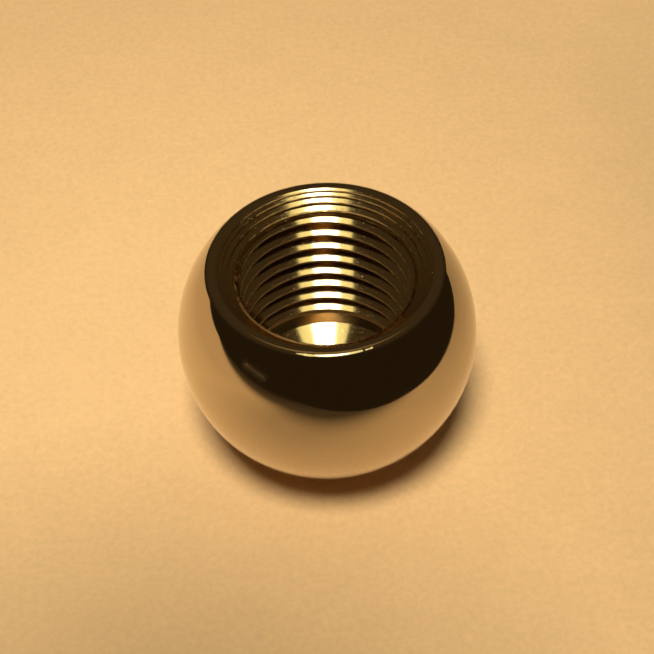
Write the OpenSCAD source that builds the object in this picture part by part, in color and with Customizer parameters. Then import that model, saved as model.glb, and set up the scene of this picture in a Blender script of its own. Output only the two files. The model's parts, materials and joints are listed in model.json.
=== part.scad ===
// Ball finial: a turned ball, faced off flat at the mouth of a blind socket.
// The socket is drilled, countersunk and tapped M10 x 1. It is drawn here at its
// drilled size, which the crests of the thread keep.
// The origin is the centre of the mouth's flat face, and +Z points out of the socket.

/* [Ball] */
// Diameter of the ball
ball_d = 16; // [13:0.5:30]
// Diameter of the flat face at the mouth
face_d = 12.3; // [10.2:0.1:15.5]
// Radius that rounds the edge between the face and the ball
edge_r = 0.15; // [0.05:0.05:0.5]

/* [Socket] */
// Width of the ring between the ball and the countersink, the rounded edge included
land_w = 0.45; // [0.1:0.05:1.5]
// Included angle of the countersink
sink_angle = 90; // [60:1:150]
// Diameter of the drilled hole
bore_d = 9.2; // [3:0.1:11.3]
// Included angle of the drill's point
point_angle = 118; // [90:1:150]
// Metal left between the drill's point and the far side of the ball
floor_t = 0.75; // [0.4:0.05:5]

/* [Hidden] */
$fn = 180;
// How far a cutting outline runs past the outline that it cuts
overcut = 1;

ball_r = ball_d / 2;
face_r = face_d / 2;
bore_r = bore_d / 2;
// The ball's centre lies below the face, by as much as the face's width asks
centre_z = -sqrt(ball_r * ball_r - face_r * face_r);

sink_r = face_r - land_w;
sink_depth = (sink_r - bore_r) / tan(sink_angle / 2);
point_z = centre_z - ball_r + floor_t;
wall_end_z = point_z + bore_r / tan(point_angle / 2);

// The arc of the rounded edge touches the face from below and the ball from inside.
// edge_dir points from the ball's centre, through the arc's centre, to where it touches the ball.
edge_x = sqrt(pow(ball_r - edge_r, 2) - pow(centre_z + edge_r, 2));
edge_dir = [edge_x, -edge_r - centre_z] / (ball_r - edge_r);

// Half outline of the solid ball, cut off at the face
module faced_disc() {
    half_w = ball_r + overcut;
    half_h = half_w - centre_z;
    intersection() {
        translate([0, centre_z]) circle(ball_r);
        translate([0, -half_h]) square([half_w, half_h]);
    }
}

// The sharp corner outside the arc of the rounded edge
module corner_waste() {
    outer = [0, centre_z] + (ball_r + overcut) * edge_dir;
    difference() {
        polygon([[edge_x, -edge_r], outer, [outer.x, overcut], [edge_x, overcut]]);
        translate([edge_x, -edge_r]) circle(edge_r);
    }
}

// Half outline of the socket: drill's point, straight wall and countersink
module socket() {
    polygon([
        [-overcut, point_z],
        [0, point_z],
        [bore_r, wall_end_z],
        [bore_r, -sink_depth],
        [sink_r, 0],
        [sink_r, overcut],
        [-overcut, overcut]
    ]);
}

module ball() {
    color([0.80, 0.76, 0.69])
        rotate_extrude()
            difference() {
                faced_disc();
                corner_waste();
                socket();
            }
}

ball();
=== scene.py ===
"""A turned ball finial in polished nickel, with a blind tapped socket, on a pale paper floor."""
import json
import math
from functools import partial

import bpy
from bpy.props import FloatProperty, FloatVectorProperty, IntProperty, PointerProperty
from mathutils import Matrix, Vector


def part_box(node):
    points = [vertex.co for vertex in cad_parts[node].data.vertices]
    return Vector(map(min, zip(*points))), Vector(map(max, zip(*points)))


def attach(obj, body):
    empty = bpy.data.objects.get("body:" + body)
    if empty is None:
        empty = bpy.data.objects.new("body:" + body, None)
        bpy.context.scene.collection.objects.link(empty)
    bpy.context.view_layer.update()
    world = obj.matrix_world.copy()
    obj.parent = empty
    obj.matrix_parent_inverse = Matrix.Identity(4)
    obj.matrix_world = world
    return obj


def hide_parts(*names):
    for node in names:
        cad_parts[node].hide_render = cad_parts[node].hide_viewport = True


bl_info = {
    "name": "Ball Finial",
    "version": (1, 0, 0),
    "blender": (4, 5, 0),
    "location": "View3D > Sidebar > Finial",
    "description": "Builds a turned and tapped ball finial and a small studio round it",
    "category": "Add Mesh",
}

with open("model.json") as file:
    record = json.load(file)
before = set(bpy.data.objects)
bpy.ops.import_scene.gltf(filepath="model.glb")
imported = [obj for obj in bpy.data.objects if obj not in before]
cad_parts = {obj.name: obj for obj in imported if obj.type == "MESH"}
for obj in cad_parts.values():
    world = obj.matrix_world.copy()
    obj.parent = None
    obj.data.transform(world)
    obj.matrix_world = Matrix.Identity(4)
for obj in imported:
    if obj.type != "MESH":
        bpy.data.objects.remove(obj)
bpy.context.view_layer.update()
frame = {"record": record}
LOWEST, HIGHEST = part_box("ball")
SOCKET = next(m for m in frame["record"]["mounts"] if m["name"] == "socket")

MM = 0.001
TURN = 2 * math.pi
THREAD_FLANK = math.radians(31)  # half the thread's angle, as a slightly worn tap leaves it
# The countersink's tool has fed in by steps. Each is given by how far its riser stands from
# the bore, as a share of the cone's width, and how far the riser cuts below the cone, as a
# share of the thread's pitch.
TREAD_SLOPE = math.radians(30)
TREADS = ((0.848, 0.009), (0.675, 0.049), (0.459, 0.0))
TREAD_END = 0.191  # where the last tread gives way to the plain cone
WORN_EDGE = 0.05 * MM  # how wide the edges of those steps are worn
# The burr that the tap has raised round the inside of the countersink.
LIP_WIDTH = 0.24 * MM
LIP_HEIGHT = 0.17 * MM
LIP_AT = 0.19  # where it stands highest, as a share of a turn from the thread's start
NICKS = ((-0.92, -6.01, -0.12), (1.96, -5.76, -0.12))  # the two nicks in the edge, in mm
NICK_REACH = 0.1  # how far each runs along the edge either way, in mm
NICK_WIDTH = 0.22 * MM
NICK_DEPTH = 0.009 * MM
RUB = ((-4.1, -5.6, -1.15), (-3.25, -6.3, -1.4))  # the ends of the one rub on the ball, in mm
RUB_WIDTH = 0.45 * MM
RUB_HAZE = 0.22  # how much rougher the middle of the rub is
HALVINGS = 40  # steps in the search for where two surfaces meet
A_HAIR = 1e-9  # in metres, less than any size here
ON_AXIS = 1e-7  # in metres, what is nearer to the axis than this counts as on it
GRAINS = 1e8  # to the metre, corners that fall in the same grain are one

PAPER_R, SHADOW_CARD_R, DOME_R = 1.2, 1.3, 9.0  # how far the stage reaches, in metres
SHADOW_CARD_LIFT = 0.02 * MM  # keeps the mirrored card of dark table and painted shadow clear of the paper
PAINTED_FAR_TONE = 0.8  # how bright the painted pool of lamp light leaves the paper far from the ball
CEILING_GLOW = math.radians(70)  # how high the ceiling's glow stands, behind the ball
LAMP_LEVEL = 0.92  # how bright a white floor is under the lamp, where 1 is pure white
LAMP_ASIDE = math.radians(-3)  # the lamp hangs in front, a little to the left
FILL_COLOUR, FILL_STRENGTH = (0.8, 0.95, 1.0, 1.0), 0.035  # faint cool daylight

CAMERA_LENS, CAMERA_SENSOR = 99.1, 36.0  # in mm
CAMERA_ELEVATION = math.radians(48.3)
CAMERA_ROLL = math.radians(-2.0)
CAMERA_REACH = 96.8 * MM  # from the camera to what it looks at
CAMERA_RISE = 0.18  # how far above the ball's middle it looks, in mm


def linear(hex_colour):
    """Turn an sRGB hex colour into the linear values that Blender works in."""
    channels = [int(hex_colour[i:i + 2], 16) / 255 for i in (0, 2, 4)]
    return tuple(c / 12.92 if c <= 0.04045 else ((c + 0.055) / 1.055) ** 2.4 for c in channels)


def length(name, description, default_mm, **limits):
    return FloatProperty(name=name, description=description, default=default_mm * MM,
                         unit="LENGTH", subtype="DISTANCE", precision=5, **limits)


def colour(name, description, hex_colour):
    return FloatVectorProperty(name=name, description=description, size=3, min=0.0, max=1.0,
                               subtype="COLOR", default=linear(hex_colour))


class FinialSizes(bpy.types.PropertyGroup):
    """Sizes of the ball and its socket."""

    ball_d: length("Ball diameter", "Diameter of the ball", (HIGHEST.y - LOWEST.y) / MM)
    face_d: length("Face diameter", "Diameter of the flat face at the mouth", 12.3)
    edge_r: length("Edge radius", "Radius that buffing has rolled between face and ball", 0.4)
    land_w: length("Land width", "From the outside of the face to the countersink", 0.45)
    sink_angle: FloatProperty(name="Countersink angle", description="Included angle",
                              default=math.radians(90), subtype="ANGLE")
    bore_r: length("Drilled radius", "Radius of the tapping hole", SOCKET["dims"]["r_mm"])
    point_angle: FloatProperty(name="Drill point angle", description="Included angle",
                               default=math.radians(118), subtype="ANGLE")
    floor_t: length("Floor thickness", "Metal left under the drill's point", 0.75)
    root_r: length("Thread root radius", "Half the thread's major diameter", 5.0)
    crest_rise: length("Crest rise", "How far the tap has raised the crests from the wall", 0.1)
    crest_w: length("Crest width", "Width of the thread's crest", 0.14)
    pitch: length("Thread pitch", "Rise of the thread in one turn", 1.0)
    first_r: length("First root radius", "Root radius where the thread starts", 4.63)
    lead_in: FloatProperty(name="Lead-in", description="Turns over which the cut deepens",
                           default=0.77)
    full_turns: FloatProperty(name="Full turns", description="Turns cut to full depth",
                              default=7.25)
    run_out: FloatProperty(name="Run-out", description="Turns over which the tap's cut fades",
                           default=0.9)
    start_angle: FloatProperty(name="Thread start", description="Where the thread meets the mouth",
                               default=math.radians(166), subtype="ANGLE")
    columns: IntProperty(name="Columns", description="Facets round the ball", default=288, min=48)


class FinialFinish(bpy.types.PropertyGroup):
    """Colours and polish of the metal."""

    nickel: colour("Nickel", "Colour of the polished plating", "CBBCA5")
    brassy: colour("Thin plating", "Colour inside the socket, where brass shows through", "D4BE98")
    polish: FloatProperty(name="Polish", description="Roughness of the buffed ball",
                          default=0.05, min=0.0, max=1.0, subtype="FACTOR")
    cut: FloatProperty(name="Cut finish", description="Roughness inside the socket",
                       default=0.1, min=0.0, max=1.0, subtype="FACTOR")
    brass: colour("Bare brass", "Colour of the thread's worn crests", "D9B074")
    sunk: FloatProperty(name="Countersink finish", description="Roughness of the countersink",
                        default=0.13, min=0.0, max=1.0, subtype="FACTOR")
    worn: FloatProperty(name="Crest finish", description="Roughness of the worn crests",
                        default=0.68, min=0.0, max=1.0, subtype="FACTOR")
    spots: length("Spots", "Depth of torn and spattered spots", 0.006)
    marks: length("Tool marks", "Depth of the marks inside the socket", 0.0015)


class FinialStage(bpy.types.PropertyGroup):
    """The floor, the lamp and the dark surroundings."""

    paper: colour("Paper", "Colour of the floor", "FFCC88")
    room: colour("Dark cards", "What the metal sees above the floor", "2A1F10")
    ceiling: colour("Ceiling", "Glow over the ball, as the socket mirrors it", "B69662")
    lamp_elevation: FloatProperty(name="Lamp height", description="Angle above the horizon",
                                  default=math.radians(70.5), subtype="ANGLE")
    lamp_half_angle: FloatProperty(name="Lamp size", description="Half angle the lamp covers",
                                   default=math.radians(8.2), subtype="ANGLE")
    shade_half_angle: FloatProperty(name="Shade size", description="Half angle the shade covers",
                                    default=math.radians(18.3), subtype="ANGLE")
    lamp_distance: length("Lamp distance", "From the ball to the lamp", 6000.0)


def add(tree, kind, inputs=None, **settings):
    """Add a node with its settings. An input given as another node's output is linked."""
    made = tree.nodes.new(kind)
    for name, value in settings.items():
        setattr(made, name, value)
    for name, value in (inputs or {}).items():
        if isinstance(value, bpy.types.NodeSocket):
            tree.links.new(value, made.inputs[name])
        else:
            made.inputs[name].default_value = value
    return made


def new_material(name):
    """An empty material, and its node tree."""
    material = bpy.data.materials.new(name)
    material.use_nodes = True
    material.node_tree.nodes.clear()
    return material, material.node_tree


def turned_place(tree, place, along, across):
    """The place on a turned surface as seen by the tool: slow round the axis, quick across."""
    split = add(tree, "ShaderNodeSeparateXYZ", {"Vector": place})
    flat = add(tree, "ShaderNodeVectorMath", {0: place, 1: (1.0, 1.0, 0.0)}, operation="MULTIPLY")
    out = add(tree, "ShaderNodeVectorMath", {0: flat.outputs["Vector"]}, operation="LENGTH")
    turn = add(tree, "ShaderNodeMath", {0: split.outputs["Y"], 1: split.outputs["X"]},
               operation="ARCTAN2")
    lay = add(tree, "ShaderNodeCombineXYZ", {
        "X": turn.outputs["Value"], "Y": out.outputs["Value"], "Z": split.outputs["Z"]})
    scaled = add(tree, "ShaderNodeVectorMath",
                 {0: lay.outputs["Vector"], 1: (along, across, across)}, operation="MULTIPLY")
    return scaled.outputs["Vector"]


def streak(tree, place, start, end, width):
    """How near a place is to a straight mark between two points, from 1 on it to 0."""
    run = Vector(end) - Vector(start)
    offset = add(tree, "ShaderNodeVectorMath", {0: place, 1: start}, operation="SUBTRACT")
    shadow = add(tree, "ShaderNodeVectorMath", {0: offset.outputs["Vector"], 1: run},
                 operation="DOT_PRODUCT")
    share = add(tree, "ShaderNodeMath", {0: shadow.outputs["Value"], 1: run.length_squared},
                operation="DIVIDE", use_clamp=True)
    foot = add(tree, "ShaderNodeVectorMath", {0: run, "Scale": share.outputs["Value"]},
               operation="SCALE")
    gap = add(tree, "ShaderNodeVectorMath", {0: offset.outputs["Vector"], 1: foot.outputs["Vector"]},
              operation="DISTANCE")
    return add(tree, "ShaderNodeMapRange", {
        "Value": gap.outputs["Value"], "From Min": 0.0, "From Max": width,
        "To Min": 1.0, "To Max": 0.0}, interpolation_type="SMOOTHSTEP").outputs["Result"]


def polished_nickel(finish):
    """Nickel plate over turned metal, buffed to a mirror."""
    material, tree = new_material("polished_nickel")
    place = add(tree, "ShaderNodeTexCoord").outputs["Object"]
    # Buffing leaves broad patches that are a touch hazier, about 3 mm across.
    haze = add(tree, "ShaderNodeTexNoise", {"Vector": place, "Scale": 330.0, "Detail": 3.0})
    gloss = add(tree, "ShaderNodeMapRange", {
        "Value": haze.outputs["Fac"], "From Min": 0.35, "From Max": 0.7,
        "To Min": finish.polish * 0.7, "To Max": finish.polish * 1.5})
    # One faint rub, 1 mm long, has dulled it beside the mouth.
    rub = streak(tree, place, *(Vector(end) * MM for end in RUB), RUB_WIDTH)
    gloss = add(tree, "ShaderNodeMath", {0: rub, 1: RUB_HAZE, 2: gloss.outputs["Result"]},
                operation="MULTIPLY_ADD")
    # Under the buffing the ball still waves a little, over 1 to 2 mm.
    wave = add(tree, "ShaderNodeTexNoise", {"Vector": place, "Scale": 700.0, "Detail": 2.0})
    skin = add(tree, "ShaderNodeBump", {
        "Strength": 1.0, "Distance": 0.0004 * MM, "Height": wave.outputs["Fac"]})
    # Small nicks in the edge spread what it mirrors into round glints.
    for nick in NICKS:
        centre = Vector(nick) * MM
        along = Vector((-nick[1], nick[0], 0.0)).normalized() * NICK_REACH * MM
        dent = streak(tree, place, centre - along, centre + along, NICK_WIDTH)
        skin = add(tree, "ShaderNodeBump", {
            "Strength": 1.0, "Distance": -NICK_DEPTH, "Height": dent,
            "Normal": skin.outputs["Normal"]})
    shader = add(tree, "ShaderNodeBsdfPrincipled", {
        "Base Color": (*finish.nickel, 1.0), "Metallic": 1.0,
        "Roughness": gloss.outputs["Value"], "Normal": skin.outputs["Normal"]})
    add(tree, "ShaderNodeOutputMaterial", {"Surface": shader.outputs["BSDF"]})
    return material


def cut_metal(name, tint, roughness, marks, spots, worn=None, wear=(0.4, 0.6), side=(0, 0, 0)):
    """Metal as the tool has left it. Fine marks run round it, marks deep, and here and there it
    is torn or spattered, spots deep, which sparkles. With worn it turns that rough in stretches,
    as noise rises through the range wear, and side adds to the noise per metre each way."""
    material, tree = new_material(name)
    place = add(tree, "ShaderNodeTexCoord").outputs["Object"]
    # The tool marks are 0.03 to 0.1 mm apart.
    lay = add(tree, "ShaderNodeTexNoise", {
        "Vector": turned_place(tree, place, 1.6, 16000.0), "Scale": 1.0, "Detail": 3.0})
    lined = add(tree, "ShaderNodeBump", {
        "Strength": 1.0, "Distance": marks, "Height": lay.outputs["Fac"]})
    # Torn and spattered spots are about 0.1 mm across.
    torn = add(tree, "ShaderNodeTexNoise", {
        "Vector": turned_place(tree, place, 50.0, 12000.0), "Scale": 1.0, "Detail": 2.0})
    spotted = add(tree, "ShaderNodeMapRange", {
        "Value": torn.outputs["Fac"], "From Min": 0.64, "From Max": 0.8},
        interpolation_type="SMOOTHSTEP")
    skin = add(tree, "ShaderNodeBump", {
        "Strength": 1.0, "Distance": spots, "Height": spotted.outputs["Result"],
        "Normal": lined.outputs["Normal"]})
    if worn is not None:
        # The worn stretches are 0.2 to 1 mm long.
        rubbed = add(tree, "ShaderNodeTexNoise", {
            "Vector": turned_place(tree, place, 12.0, 4000.0), "Scale": 1.0, "Detail": 4.0,
            "Roughness": 0.65})
        lean = add(tree, "ShaderNodeVectorMath", {0: place, 1: side}, operation="DOT_PRODUCT")
        level = add(tree, "ShaderNodeMath", {0: rubbed.outputs["Fac"], 1: lean.outputs["Value"]},
                    operation="ADD")
        roughness = add(tree, "ShaderNodeMapRange", {
            "Value": level.outputs["Value"], "From Min": wear[0], "From Max": wear[1],
            "To Min": roughness, "To Max": worn}).outputs["Result"]
    shader = add(tree, "ShaderNodeBsdfPrincipled", {
        "Base Color": (*tint, 1.0), "Metallic": 1.0, "Roughness": roughness,
        "Normal": skin.outputs["Normal"]})
    add(tree, "ShaderNodeOutputMaterial", {"Surface": shader.outputs["BSDF"]})
    return material


class Section:
    """One half section of the turned ball, from its lowest point, over the mouth, to the
    bottom of the socket. Each row is a ring or a turn of the thread, given as a function of
    how far round the ball it is, and each strip between two rows knows its own slope."""

    def __init__(self):
        self.rows = []
        self.strips = []

    def start(self, r, z):
        """The first row, a ring."""
        self.rows.append(lambda turn: (r, z))

    def to(self, row, slopes, finish, lead=0.0):
        """Add a row. slopes are the section's directions at the strip's two rows."""
        self.rows.append(row)
        self.strips.append((slopes, finish, lead))

    def line(self, r, z, finish):
        """A straight turned surface to (r, z)."""
        r0, z0 = self.rows[-1](0.0)
        run = math.hypot(r - r0, z - z0)
        slope = ((r - r0) / run, (z - z0) / run)
        self.to(lambda turn: (r, z), (slope, slope), finish)

    def arc(self, centre, radius, first, last, steps, finish):
        """A turned arc. Angles run anticlockwise from the outward direction."""
        for i in range(steps):
            a, b = (first + (last - first) * (i + n) / steps for n in (0, 1))
            end = (max(centre[0] + radius * math.cos(b), 0.0), centre[1] + radius * math.sin(b))
            slopes = ((-math.sin(a), math.cos(a)), (-math.sin(b), math.cos(b)))
            self.to(lambda turn, end=end: end, slopes, finish)


def lerp(p, q, t):
    """The point or slope that is a share t of the way from p to q."""
    return (p[0] + (q[0] - p[0]) * t, p[1] + (q[1] - p[1]) * t)


class Socket:
    """The socket's sizes, with what follows from them."""

    def __init__(self, sizes):
        self.bore_r, self.root_r, self.pitch = sizes.bore_r, sizes.root_r, sizes.pitch
        self.crest_r, self.crest_w = sizes.bore_r - sizes.crest_rise, sizes.crest_w
        self.first_r, self.lead_in = sizes.first_r, sizes.lead_in
        self.full_turns, self.run_out = sizes.full_turns, sizes.run_out
        self.sink_r = sizes.face_d / 2 - sizes.land_w
        self.sink_tan = math.tan(sizes.sink_angle / 2)
        self.lip_r = self.bore_r + LIP_WIDTH * 0.3
        self.tread_r = self.bore_r + TREAD_END * (self.sink_r - self.bore_r)

    def cone_z(self, r):
        """Height of the countersink's cone."""
        return -(self.sink_r - r) / self.sink_tan

    def sink_z(self, r, lip=0.0):
        """Height of the countersink's last tread and of the plain cone below it, where the tap
        has raised a thin lip."""
        if r < self.tread_r:
            aside = (r - self.lip_r) / (LIP_WIDTH / 2)
            raised = LIP_HEIGHT * lip * math.cos(aside * math.pi / 2) ** 2 if abs(aside) < 1 else 0.0
            return self.cone_z(r) + raised
        return self.cone_z(self.tread_r) + (r - self.tread_r) * math.tan(TREAD_SLOPE)

    def lip_slope(self, r, lip):
        """Which way the section runs across the lip."""
        step = LIP_WIDTH / 100
        fall = (self.sink_z(r + step, lip) - self.sink_z(r - step, lip)) / (2 * step)
        return Vector((-1.0, -fall)).normalized()

    def meeting(self, root_r, slope_z):
        """Radius at which a flank of the groove runs out through the countersink."""
        near, far = self.crest_r, root_r
        inside = slope_z(near) > self.sink_z(near)
        for _ in range(HALVINGS):
            middle = (near + far) / 2
            if (slope_z(middle) > self.sink_z(middle)) == inside:
                near = middle
            else:
                far = middle
        return near

    def cut_share(self, turns_down):
        """How much of its full depth the tap has cut, so many turns below the start."""
        left = (self.full_turns + self.run_out - turns_down) / self.run_out
        return min(max(left, 0.0), 1.0)

    def groove(self, number, turn):
        """Corners of one turn of the groove, trimmed where the countersink has cut it off."""
        tan = math.tan(THREAD_FLANK)
        turns_down = number - turn
        deepened = min(max(turns_down / self.lead_in, 0.0), 1.0)
        cut = self.cut_share(turns_down)
        full_r = self.first_r + (self.root_r - self.first_r) * deepened
        root_r = self.bore_r + (full_r - self.bore_r) * cut
        crest_r = self.bore_r + (self.crest_r - self.bore_r) * cut
        depth = root_r - crest_r
        start_z = self.sink_z(self.first_r) - (self.first_r - self.crest_r) * tan
        low_z = start_z - self.pitch * turns_down
        root_low = low_z + (full_r - self.crest_r) * tan
        root_top = root_low + self.pitch - self.crest_w - 2 * (self.root_r - self.crest_r) * tan
        top = (crest_r, root_top + depth * tan)
        low = (crest_r, root_low - depth * tan)
        break_z, sink_end_z = self.sink_z(root_r), self.sink_z(self.crest_r)
        if root_top >= break_z:
            top = (root_r, break_z)
        elif top[1] > sink_end_z:
            r = self.meeting(root_r, lambda r: root_top + (root_r - r) * tan)
            top = (r, self.sink_z(r))
        if root_low >= break_z - A_HAIR:
            low = (root_r, break_z)
        elif low[1] > sink_end_z:
            r = self.meeting(root_r, lambda r: root_low - (root_r - r) * tan)
            low = (r, self.sink_z(r))
        return [top, (root_r, min(root_top, break_z)), (root_r, min(root_low, break_z)), low]


def feed_marks(s):
    """Corners of the steps that the countersink's tool has left, from the land inwards. Each
    is a tread, at the slope of TREAD_SLOPE, with its edge worn, and a riser straight down."""
    corners = []
    r, z = s.sink_r, 0.0
    for share, deeper in TREADS:
        next_r = s.bore_r + share * (s.sink_r - s.bore_r)
        z -= (r - next_r) * math.tan(TREAD_SLOPE)
        corners.append((next_r + WORN_EDGE, z + WORN_EDGE * math.tan(TREAD_SLOPE), "sunk"))
        corners.append((next_r, z, "edge"))
        z = s.cone_z(next_r) - deeper * s.pitch
        corners.append((next_r, z, "sunk"))
        r = next_r
    corners[-1] = (r, s.sink_z(r), "sunk")  # the last riser stops on the last tread
    return corners


def finial_section(sizes):
    """Every row of the ball and its tapped socket, in order."""
    s = Socket(sizes)
    ball_r, face_r = sizes.ball_d / 2, sizes.face_d / 2
    centre_z = -math.sqrt(ball_r ** 2 - face_r ** 2)
    edge_x = math.sqrt((ball_r - sizes.edge_r) ** 2 - (-sizes.edge_r - centre_z) ** 2)
    edge_angle = math.atan2(-sizes.edge_r - centre_z, edge_x)
    point_z = centre_z - ball_r + sizes.floor_t
    wall_end_z = point_z + s.bore_r / math.tan(sizes.point_angle / 2)

    section = Section()
    section.start(0.0, centre_z - ball_r)
    section.arc((0.0, centre_z), ball_r, -math.pi / 2, edge_angle, 84, "polished")
    section.arc((edge_x, -sizes.edge_r), sizes.edge_r, edge_angle, math.pi / 2, 8, "polished")
    section.line(s.sink_r, 0.0, "polished")
    for r, z, finish in feed_marks(s):
        section.line(r, z, finish)
    section.line(s.root_r, s.sink_z(s.root_r), "sunk")

    down = (0.0, -1.0)
    tread_slope = (-math.cos(TREAD_SLOPE), -math.sin(TREAD_SLOPE))
    out_slope = (math.cos(THREAD_FLANK), -math.sin(THREAD_FLANK))
    in_slope = (-math.cos(THREAD_FLANK), -math.sin(THREAD_FLANK))
    lead = s.pitch / TURN
    flank_steps, crest_steps = 3, 2
    sink_end_z = s.sink_z(s.crest_r)
    grooves = math.ceil((sink_end_z - wall_end_z) / s.pitch) + 1
    # One of the rows is where the first groove starts, so that the two ends of the sweep meet.
    cone_rows = [s.lip_r + LIP_WIDTH * share for share in (0.5, 0.33, 0.17, 0.0, -0.33)]
    cone_rows = sorted(cone_rows + [s.first_r, s.crest_r], reverse=True)
    tread_rows = [s.root_r + (s.tread_r - s.root_r) * i / flank_steps
                  for i in range(1, flank_steps + 1)]

    def clamp(point):
        """Stop the thread at the end of the wall."""
        return (point[0], max(point[1], wall_end_z))

    def strips(start, end, steps, slope, pitch_lead, finish="cut"):
        """Straight rows from one corner of the groove to the next."""
        for i in range(1, steps + 1):
            section.to(lambda turn, t=i / steps: lerp(start(turn), end(turn), t),
                       (slope, slope), finish, pitch_lead)

    def crest(start, end, number):
        """The rounded crest above a turn of the groove. It flattens where the groove fades."""
        def rounded(t):
            round_slope = lerp(in_slope, out_slope, t)

            def slope(turn):
                return lerp(down, round_slope, s.cut_share(number - turn))
            return slope

        for i in range(1, crest_steps + 1):
            section.to(lambda turn, t=i / crest_steps: lerp(start(turn), end(turn), t),
                       (rounded((i - 1) / crest_steps), rounded(i / crest_steps)),
                       "crest" if number < s.full_turns + s.run_out + 1 else "drilled", lead)

    def ragged(turn):
        """How high the lip stands, so far round. It is torn unevenly, and most at LIP_AT."""
        most = max((math.cos(TURN * (turn - LIP_AT)) - 0.55) / 0.45, 0.0) ** 0.75
        waves = 0.12 * math.sin(37 * TURN * turn) + 0.12 * math.sin(61 * TURN * turn + 1.0)
        return most * (0.85 + waves)

    def above(turn, row_r):
        """A row of the countersink above the first groove, stopped where the groove cuts in."""
        top = s.groove(1, turn)[0]
        r = max(row_r, top[0]) if top[1] > sink_end_z else row_r
        return (r, s.sink_z(r, ragged(turn) if r > top[0] or top[1] <= sink_end_z else 0.0))

    def below(turn, row_r):
        """A row of the cone that is left between the first groove and the bore."""
        low = s.groove(1, turn)[3]
        r = min(row_r, low[0])
        return (r, min(s.sink_z(r, ragged(turn) if r < low[0] else 0.0), low[1]))

    def lipped(rows_at):
        """The rows of the cone, whose lip is bare brass."""
        before = s.tread_r
        for row_r in cone_rows:
            slopes = [lambda turn, r=r: s.lip_slope(rows_at(turn, r)[0], ragged(turn))
                      for r in (before - A_HAIR, row_r)]
            on_lip = abs(row_r - s.lip_r) < LIP_WIDTH / 2 * 0.99
            section.to(lambda turn, r=row_r: rows_at(turn, r), slopes, "lip" if on_lip else "sunk")
            before = row_r

    for row_r in tread_rows:
        finish = "edge" if row_r == tread_rows[-1] else "sunk"
        section.to(lambda turn, r=row_r: above(turn, r), (tread_slope, tread_slope), finish)
    lipped(above)
    last = partial(above, row_r=s.crest_r)
    for number in range(1, grooves + 1):
        points = [lambda turn, n=number, c=c: clamp(s.groove(n, turn)[c]) for c in range(4)]
        if number == 1:
            strips(last, points[0], crest_steps, down, lead)
        else:
            crest(last, points[0], number)
        finish = "cut" if number < s.full_turns + s.run_out else "drilled"
        strips(points[0], points[1], flank_steps, out_slope, lead, finish)
        strips(points[1], points[2], 1, down, lead, finish)
        strips(points[2], points[3], flank_steps, in_slope, lead, finish)
        last = points[3]
        if number == 1:
            lipped(below)
            last = partial(below, row_r=s.crest_r)
    section.to(lambda turn: (s.bore_r, wall_end_z), (down, down), "drilled")
    for share in (0.8, 0.6, 0.4, 0.2, 0.05, 0.0):
        section.line(share * s.bore_r, point_z + share * (wall_end_z - point_z), "cut")
    return section


def turned_mesh(name, section, columns, start_angle, finishes):
    """Sweep the section once round. Every face keeps the true normal of its turned or threaded
    surface, because a mirror finish shows the smallest error in them."""
    points, numbers, faces, normals, slots = [], {}, [], [], []

    def number_of(place):
        key = tuple(round(c * GRAINS) for c in place)
        if key not in numbers:
            numbers[key] = len(points)
            points.append(place)
        return numbers[key]

    grid = []
    for j in range(columns + 1):
        angle = start_angle + TURN * (j % columns) / columns
        sweep = (math.cos(angle), math.sin(angle))
        column = []
        for row in section.rows:
            r, z = row(j / columns)
            column.append((r, number_of((r * sweep[0], r * sweep[1], z))))
        grid.append((sweep, column))

    def normal(sweep, r, slope, lead):
        """Square to both the section's direction and the way round, which climbs by lead."""
        along = Vector((slope[0] * sweep[0], slope[0] * sweep[1], slope[1]))
        if r < ON_AXIS:
            r, lead = 1.0, 0.0
        round_it = Vector((-r * sweep[1], r * sweep[0], lead))
        return round_it.cross(along).normalized()

    for i, (slopes, finish, lead) in enumerate(section.strips):
        for j in range(columns):
            corners = [(j, i, 0), (j + 1, i, 0), (j + 1, i + 1, 1), (j, i + 1, 1)]
            face, face_normals = [], []
            for column, row, end in corners:
                sweep, cells = grid[column]
                r, number = cells[row]
                if number in face:
                    continue
                face.append(number)
                slope = slopes[end]
                if callable(slope):
                    slope = slope(column / columns)
                face_normals.append(normal(sweep, r, slope, lead))
            if len(face) > 2:
                faces.append(face)
                normals.extend(face_normals)
                slots.append(list(finishes).index(finish))

    mesh = bpy.data.meshes.new(name)
    mesh.from_pydata(points, [], faces)
    for material in finishes.values():
        mesh.materials.append(material)
    mesh.polygons.foreach_set("material_index", slots)
    mesh.polygons.foreach_set("use_smooth", [True] * len(faces))
    mesh.normals_split_custom_set(normals)
    mesh.update()
    return mesh


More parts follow.
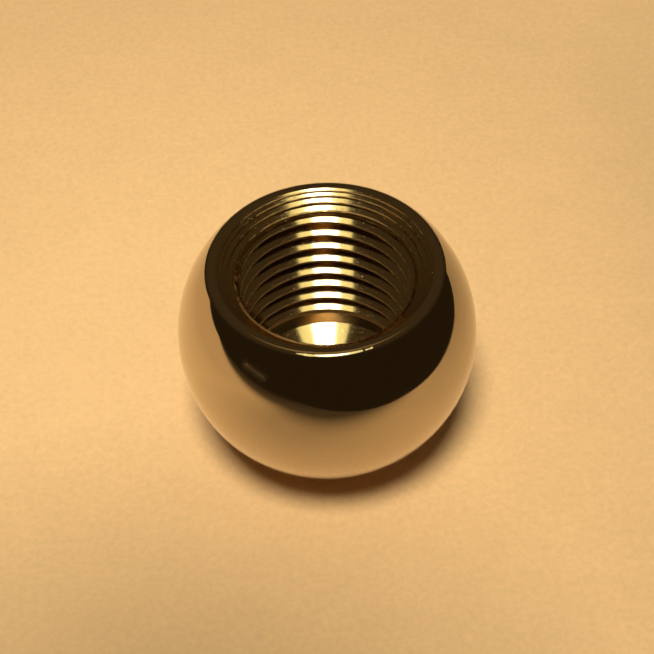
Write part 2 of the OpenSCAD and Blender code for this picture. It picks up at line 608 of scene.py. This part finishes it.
class FINIAL_OT_ball(bpy.types.Operator):
    """Turn the ball and cut its threaded socket"""

    bl_idname = "finial.ball"
    bl_label = "Ball"

    def execute(self, context):
        sizes, finish = context.scene.finial_sizes, context.scene.finial_finish
        finishes = {
            "polished": polished_nickel(finish),
            # Drilled and tapped under flowing oil, so nearly bright.
            "cut": cut_metal("tapped_nickel", finish.brassy, finish.cut, finish.marks,
                             finish.spots),
            # A countersink chatters and tears, so this is grainy and duller.
            "sunk": cut_metal("countersunk_nickel", finish.brassy, finish.sunk, finish.marks * 2,
                              finish.spots * 2),
            # Plate is thinnest on a sharp crest, where bare brass lights up as a dull gold line.
            "crest": cut_metal("bare_brass", finish.brass, finish.worn * 0.8, finish.marks,
                               finish.spots * 4, finish.worn * 1.15),
            # Drilled only, so it has the drill's marks.
            "drilled": cut_metal("drilled_nickel", finish.brassy, finish.sunk * 1.7,
                                 finish.marks * 3, finish.spots),
            # The edges of the countersink's steps are rubbed through to the brass on one side.
            "edge": cut_metal("rubbed_brass", finish.brass, finish.sunk, finish.marks * 2,
                              finish.spots * 4, finish.worn, (0.66, 0.86), (12, 75, 0)),
            # The tap has torn the lip of the hole on one side, down to the brass.
            "lip": cut_metal("torn_brass", finish.brass, finish.sunk, finish.marks * 2,
                             finish.spots * 4, finish.worn * 0.8, (0.68, 0.8), (-50, -65, 0)),
        }
        section = finial_section(sizes)
        mesh = turned_mesh("tapped_ball", section, sizes.columns, sizes.start_angle, finishes)
        if not mesh.polygons:
            raise RuntimeError("the ball has no faces")
        ball = bpy.data.objects.new("tapped_ball", mesh)
        context.scene.collection.objects.link(ball)
        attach(ball, "root")
        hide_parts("ball")
        return {"FINISHED"}


def emitter(name, tint, strength):
    """A material that only glows, for cards and lamps that the metal mirrors."""
    material, tree = new_material(name)
    glow = add(tree, "ShaderNodeEmission",
               {"Color": (*tint, 1.0), "Strength": strength})
    add(tree, "ShaderNodeOutputMaterial", {"Surface": glow.outputs["Emission"]})
    return material


def glowing_ceiling(stage):
    """The dark room, and the warm glow that the lamp throws on the ceiling behind the ball."""
    axis = (0.0, math.cos(CEILING_GLOW), math.sin(CEILING_GLOW))
    material, tree = new_material("dark_room")
    place = add(tree, "ShaderNodeTexCoord").outputs["Object"]
    way = add(tree, "ShaderNodeVectorMath", {0: place}, operation="NORMALIZE")
    near = add(tree, "ShaderNodeVectorMath", {0: way.outputs["Vector"], 1: axis},
               operation="DOT_PRODUCT")
    glow = None
    # A bright middle and a faint wide halo: each fades from inner to outer degrees off the axis.
    for outer, inner, share in ((17, 4, 0.6), (85, 20, 0.08)):
        part = add(tree, "ShaderNodeMapRange", {
            "Value": near.outputs["Value"], "From Min": math.cos(math.radians(outer)),
            "From Max": math.cos(math.radians(inner)), "To Max": share},
            interpolation_type="SMOOTHSTEP").outputs["Result"]
        glow = part if glow is None else add(tree, "ShaderNodeMath", {0: glow, 1: part},
                                             operation="ADD").outputs["Value"]
    mixed = add(tree, "ShaderNodeMix", data_type="RGBA")
    for socket, value in ((6, (*stage.room, 1.0)), (7, (*stage.ceiling, 1.0))):
        mixed.inputs[socket].default_value = value
    tree.links.new(glow, mixed.inputs[0])
    shader = add(tree, "ShaderNodeEmission", {"Color": mixed.outputs[2], "Strength": 1.0})
    add(tree, "ShaderNodeOutputMaterial", {"Surface": shader.outputs["Emission"]})
    return material


def mirrored_only(card):
    """Show a card in reflections and nowhere else."""
    card.visible_camera = False
    card.visible_diffuse = False
    card.visible_shadow = False
    card.visible_transmission = False


def stage_object(name, mesh, material):
    """Put a mesh on the stage, in its material."""
    card = bpy.data.objects.new(name, mesh)
    mesh.materials.append(material)
    bpy.context.scene.collection.objects.link(card)
    return card


def disc_mesh(name, centre, normal, radius, sides=96):
    """A flat disc that faces along normal."""
    turn = normal.to_track_quat("Z", "Y")
    places = [centre + turn @ Vector((radius * math.cos(a), radius * math.sin(a), 0.0))
              for a in (TURN * i / sides for i in range(sides))]
    mesh = bpy.data.meshes.new(name)
    mesh.from_pydata(places, [], [list(range(sides))])
    return mesh


def dome_mesh(name, centre, radius, rings=24, sides=48):
    """A whole sphere round the stage."""
    places, faces = [], []
    for i in range(rings + 1):
        tilt = math.pi * i / rings
        for j in range(sides):
            a = TURN * j / sides
            places.append(centre + radius * Vector(
                (math.sin(tilt) * math.cos(a), math.sin(tilt) * math.sin(a), math.cos(tilt))))
    for i in range(rings):
        for j in range(sides):
            k = (j + 1) % sides
            faces.append([i * sides + j, i * sides + k, (i + 1) * sides + k, (i + 1) * sides + j])
    mesh = bpy.data.meshes.new(name)
    mesh.from_pydata(places, [], faces)
    return mesh


def painted_light_patch(tree, place, centre, near, far, tones):
    """Painted light and shade on the floor: a tone that changes with the distance from a place on
    it, in millimetres.
    """
    gap = add(tree, "ShaderNodeVectorMath", {0: place, 1: Vector(centre) * MM}, operation="DISTANCE")
    return add(tree, "ShaderNodeMapRange", {
        "Value": gap.outputs["Value"], "From Min": near * MM, "From Max": far * MM,
        "To Min": tones[0], "To Max": tones[1]}).outputs["Result"]


def paper_floor(stage):
    """Uncoated tinted paper: matt, with faint mottling from its fibres, and painted light and shade
    on it.
    """
    material, tree = new_material("tinted_paper")
    place = add(tree, "ShaderNodeTexCoord").outputs["Object"]
    # The mottling of the sheet is from about 3 mm down to 0.2 mm across.
    mottle = add(tree, "ShaderNodeTexNoise", {
        "Vector": place, "Scale": 320.0, "Detail": 5.0, "Roughness": 0.75})
    tone = add(tree, "ShaderNodeMapRange", {
        "Value": mottle.outputs["Fac"], "From Min": 0.3, "From Max": 0.7,
        "To Min": 0.975, "To Max": 1.025}).outputs["Result"]
    # Its grain is 0.1 to 0.4 mm across.
    grain = add(tree, "ShaderNodeTexNoise", {
        "Vector": place, "Scale": 2600.0, "Detail": 3.0, "Roughness": 0.7})
    grain = add(tree, "ShaderNodeMapRange", {
        "Value": grain.outputs["Fac"], "From Min": 0.3, "From Max": 0.7,
        "To Min": 0.945, "To Max": 1.055}).outputs["Result"]
    tone = add(tree, "ShaderNodeMath", {0: tone, 1: grain}, operation="MULTIPLY").outputs["Value"]
    # Light and shade are painted into the sheet's tone: a painted pool of lamp light left of the
    # ball that fades outwards, a painted soft shadow in front of the ball, and painted shade far off
    # on the right.
    floor_z = LOWEST.z / MM
    for centre, near, far, tones in (((-10, 6, floor_z), 8, 36, (1.0, PAINTED_FAR_TONE)),
                                     ((-8, -22, floor_z), 6, 24, (0.62, 1.0)),
                                     ((60, 20, floor_z), 20, 45, (0.78, 1.0))):
        shade = painted_light_patch(tree, place, centre, near, far, tones)
        tone = add(tree, "ShaderNodeMath", {0: tone, 1: shade},
                   operation="MULTIPLY").outputs["Value"]
    tinted = add(tree, "ShaderNodeVectorMath", {0: stage.paper, "Scale": tone}, operation="SCALE")
    shader = add(tree, "ShaderNodeBsdfPrincipled", {
        "Base Color": tinted.outputs["Vector"], "Roughness": 0.9, "Specular IOR Level": 0.2})
    add(tree, "ShaderNodeOutputMaterial", {"Surface": shader.outputs["BSDF"]})
    return material


def table_and_shadow_card(stage, ball_r):
    """The dark table beyond the sheet of paper, as the metal mirrors it, with a painted soft shadow
    on the paper in front of the ball and painted shade on the paper's right.
    """
    material, tree = new_material("painted_shadow_and_table")
    glow = add(tree, "ShaderNodeEmission", {"Color": (*stage.room, 1.0), "Strength": 1.0})
    clear = add(tree, "ShaderNodeBsdfTransparent")
    place = add(tree, "ShaderNodeTexCoord").outputs["Object"]
    split = add(tree, "ShaderNodeSeparateXYZ", {"Vector": place})
    # A painted soft shadow darkens the sheet in front, fading into the dark further off on the left.
    # On the right the sheet ends sharply, along two slants with a round corner between them, and has
    # painted shade there that makes it a little darker.
    front = add(tree, "ShaderNodeMapRange", {
        "Value": split.outputs["X"], "From Min": -3.0 * ball_r, "From Max": 0.0,
        "To Min": 2.95 * ball_r, "To Max": 2.0 * ball_r})
    ahead = add(tree, "ShaderNodeMath", {0: split.outputs["Y"], 1: front.outputs["Result"]},
                operation="ADD")
    bare = None
    for reach, share in ((2.6, 0.86), (8.0, 0.14)):
        part = add(tree, "ShaderNodeMapRange", {
            "Value": ahead.outputs["Value"], "From Min": -reach * ball_r, "From Max": 0.0,
            "To Max": share}, interpolation_type="SMOOTHSTEP").outputs["Result"]
        bare = part if bare is None else add(tree, "ShaderNodeMath", {0: bare, 1: part},
                                             operation="ADD").outputs["Value"]
    past = None
    for way in ((0.69, -0.724, 0.0), (0.878, -0.479, 0.0)):
        gap = add(tree, "ShaderNodeVectorMath", {0: place, 1: way},
                  operation="DOT_PRODUCT").outputs["Value"]
        past = gap if past is None else add(tree, "ShaderNodeMath", {
            0: past, 1: gap, 2: 0.3 * ball_r}, operation="SMOOTH_MAX").outputs["Value"]
    sharp = add(tree, "ShaderNodeMapRange", {
        "Value": past, "From Min": 4.3 * ball_r, "From Max": 4.55 * ball_r,
        "To Min": 1.0, "To Max": 0.0}, interpolation_type="SMOOTHSTEP")
    # Painted shade: the sheet is mirrored a little darker on the right.
    dimmed = add(tree, "ShaderNodeMapRange", {
        "Value": split.outputs["X"], "From Max": 2.0 * ball_r, "To Min": 1.0, "To Max": 0.84})
    for part in (sharp, dimmed):
        bare = add(tree, "ShaderNodeMath", {0: bare, 1: part.outputs["Result"]},
                   operation="MULTIPLY").outputs["Value"]
    shader = add(tree, "ShaderNodeMixShader", {
        "Fac": bare, 1: glow.outputs["Emission"], 2: clear.outputs["BSDF"]})
    add(tree, "ShaderNodeOutputMaterial", {"Surface": shader.outputs["Shader"]})
    return material


def studio_world(stage):
    """Pale all round for the eye and for polished metal, and dim as a light."""
    world = bpy.data.worlds.new("studio")
    world.use_nodes = True
    tree = world.node_tree
    tree.nodes.clear()
    path = add(tree, "ShaderNodeLightPath").outputs
    seen = add(tree, "ShaderNodeMath", {0: path["Is Camera Ray"], 1: path["Is Glossy Ray"]},
               operation="MAXIMUM")
    seen = add(tree, "ShaderNodeMath", {0: seen.outputs["Value"], 1: path["Is Transmission Ray"]},
               operation="MAXIMUM")
    dim = add(tree, "ShaderNodeBackground", {"Color": FILL_COLOUR, "Strength": FILL_STRENGTH})
    # The pale backdrop takes the tone that the painted pool of lamp light leaves far from the ball.
    pale = add(tree, "ShaderNodeBackground", {"Color": (*stage.paper, 1.0), "Strength": PAINTED_FAR_TONE})
    mixed = add(tree, "ShaderNodeMixShader", {
        "Fac": seen.outputs["Value"], 1: dim.outputs["Background"], 2: pale.outputs["Background"]})
    add(tree, "ShaderNodeOutputWorld", {"Surface": mixed.outputs["Shader"]})
    return world


def aim(thing, target):
    """Point a camera or a lamp at a place, with its top upwards."""
    way = target - thing.location
    thing.rotation_mode = "QUATERNION"
    thing.rotation_quaternion = way.to_track_quat("-Z", "Y")


def toward(elevation, aside):
    """A direction from the ball, so far up from the front, and so far to the right."""
    return Vector((math.sin(aside), -math.cos(elevation) * math.cos(aside),
                   math.sin(elevation) * math.cos(aside)))


def hang_lamp(stage, middle):
    """A round lamp, at the power that gives the floor its level. The metal mirrors cards of it
    instead."""
    lamp_r = stage.lamp_distance * math.tan(stage.lamp_half_angle)
    light = bpy.data.lights.new("lamp", "AREA")
    light.shape = "DISK"
    light.size = 2 * lamp_r
    covered = math.pi * math.sin(stage.lamp_half_angle) ** 2
    radiance = LAMP_LEVEL * math.pi / (covered * math.sin(stage.lamp_elevation))
    light.energy = radiance * math.pi ** 2 * lamp_r ** 2
    lamp = bpy.data.objects.new("lamp", light)
    lamp.location = middle + toward(stage.lamp_elevation, LAMP_ASIDE) * stage.lamp_distance
    lamp.visible_glossy = False
    bpy.context.scene.collection.objects.link(lamp)
    aim(lamp, middle)


def hang_lamp_cards(stage, middle):
    """What the metal mirrors of the lamp: its bright disc, and the warm shade round it. Each has
    its distance as a share of the lamp's, and how far it hangs to the right in degrees."""
    for name, reach, half_angle, aside, tint, strength in (
            ("lamp_disc", 1.0, stage.lamp_half_angle, 2.2, (1.0, 1.0, 0.95), 9.0),
            ("lamp_shade", 1.02, stage.shade_half_angle, 2.7, (1.0, 0.9, 0.42), 1.5)):
        distance = stage.lamp_distance * reach
        back = toward(stage.lamp_elevation, math.radians(aside))
        mesh = disc_mesh(name, middle + back * distance, -back, distance * math.tan(half_angle))
        mirrored_only(stage_object(name, mesh, emitter(name, tint, strength)))


def set_camera(middle):
    """A camera that looks down at the ball from the front, rolled a little."""
    data = bpy.data.cameras.new("camera")
    data.sensor_width = CAMERA_SENSOR
    data.lens = CAMERA_LENS
    data.clip_start = 0.005
    data.clip_end = 20.0
    camera = bpy.data.objects.new("camera", data)
    sight = Vector((0.0, -math.cos(CAMERA_ELEVATION), math.sin(CAMERA_ELEVATION)))
    up = Vector((0.0, math.sin(CAMERA_ELEVATION), math.cos(CAMERA_ELEVATION)))
    aim_at = middle + up * CAMERA_RISE * MM
    camera.location = aim_at + sight * CAMERA_REACH
    bpy.context.scene.collection.objects.link(camera)
    aim(camera, aim_at)
    roll = Matrix.Rotation(CAMERA_ROLL, 3, "Z").to_quaternion()
    camera.rotation_quaternion = camera.rotation_quaternion @ roll
    bpy.context.scene.camera = camera


class FINIAL_OT_stage(bpy.types.Operator):
    """Lay the paper, hang the lamp and set the camera"""

    bl_idname = "finial.stage"
    bl_label = "Stage"

    def execute(self, context):
        scene, stage = context.scene, context.scene.finial_stage
        ball_r = scene.finial_sizes.ball_d / 2
        middle = Vector((0.0, 0.0, LOWEST.z + ball_r))
        ground = Vector((0.0, 0.0, LOWEST.z))
        upwards = Vector((0.0, 0.0, 1.0))

        stage_object("floor", disc_mesh("floor", ground, upwards, PAPER_R), paper_floor(stage))
        # The metal mirrors a dark table beyond the paper and a painted soft shadow on the paper in
        # front.
        lifted = Vector((0.0, 0.0, LOWEST.z + SHADOW_CARD_LIFT))
        mirrored_only(stage_object("painted_shadow_and_table", disc_mesh("painted_shadow_and_table", lifted, upwards, SHADOW_CARD_R),
                                   table_and_shadow_card(stage, ball_r)))
        mirrored_only(stage_object("dark_dome", dome_mesh("dark_dome", middle, DOME_R),
                                   glowing_ceiling(stage)))
        hang_lamp(stage, middle)
        hang_lamp_cards(stage, middle)
        scene.world = studio_world(stage)
        set_camera(middle)
        scene.view_settings.view_transform = "Standard"
        return {"FINISHED"}


class FINIAL_PT_panel(bpy.types.Panel):
    """Buttons and sizes for the finial"""

    bl_label = "Ball Finial"
    bl_idname = "FINIAL_PT_panel"
    bl_space_type = "VIEW_3D"
    bl_region_type = "UI"
    bl_category = "Finial"

    def draw(self, context):
        for operator, group in ((FINIAL_OT_ball, context.scene.finial_sizes),
                                (None, context.scene.finial_finish),
                                (FINIAL_OT_stage, context.scene.finial_stage)):
            box = self.layout.box()
            for name in group.__annotations__:
                box.prop(group, name)
            if operator:
                box.operator(operator.bl_idname)


CLASSES = (FinialSizes, FinialFinish, FinialStage, FINIAL_OT_ball, FINIAL_OT_stage, FINIAL_PT_panel)


def register():
    for cls in CLASSES:
        bpy.utils.register_class(cls)
    bpy.types.Scene.finial_sizes = PointerProperty(type=FinialSizes)
    bpy.types.Scene.finial_finish = PointerProperty(type=FinialFinish)
    bpy.types.Scene.finial_stage = PointerProperty(type=FinialStage)


def unregister():
    del bpy.types.Scene.finial_stage
    del bpy.types.Scene.finial_finish
    del bpy.types.Scene.finial_sizes
    for cls in reversed(CLASSES):
        bpy.utils.unregister_class(cls)


def main():
    register()
    bpy.ops.finial.ball()
    bpy.ops.finial.stage()


if __name__ == "__main__":
    main()
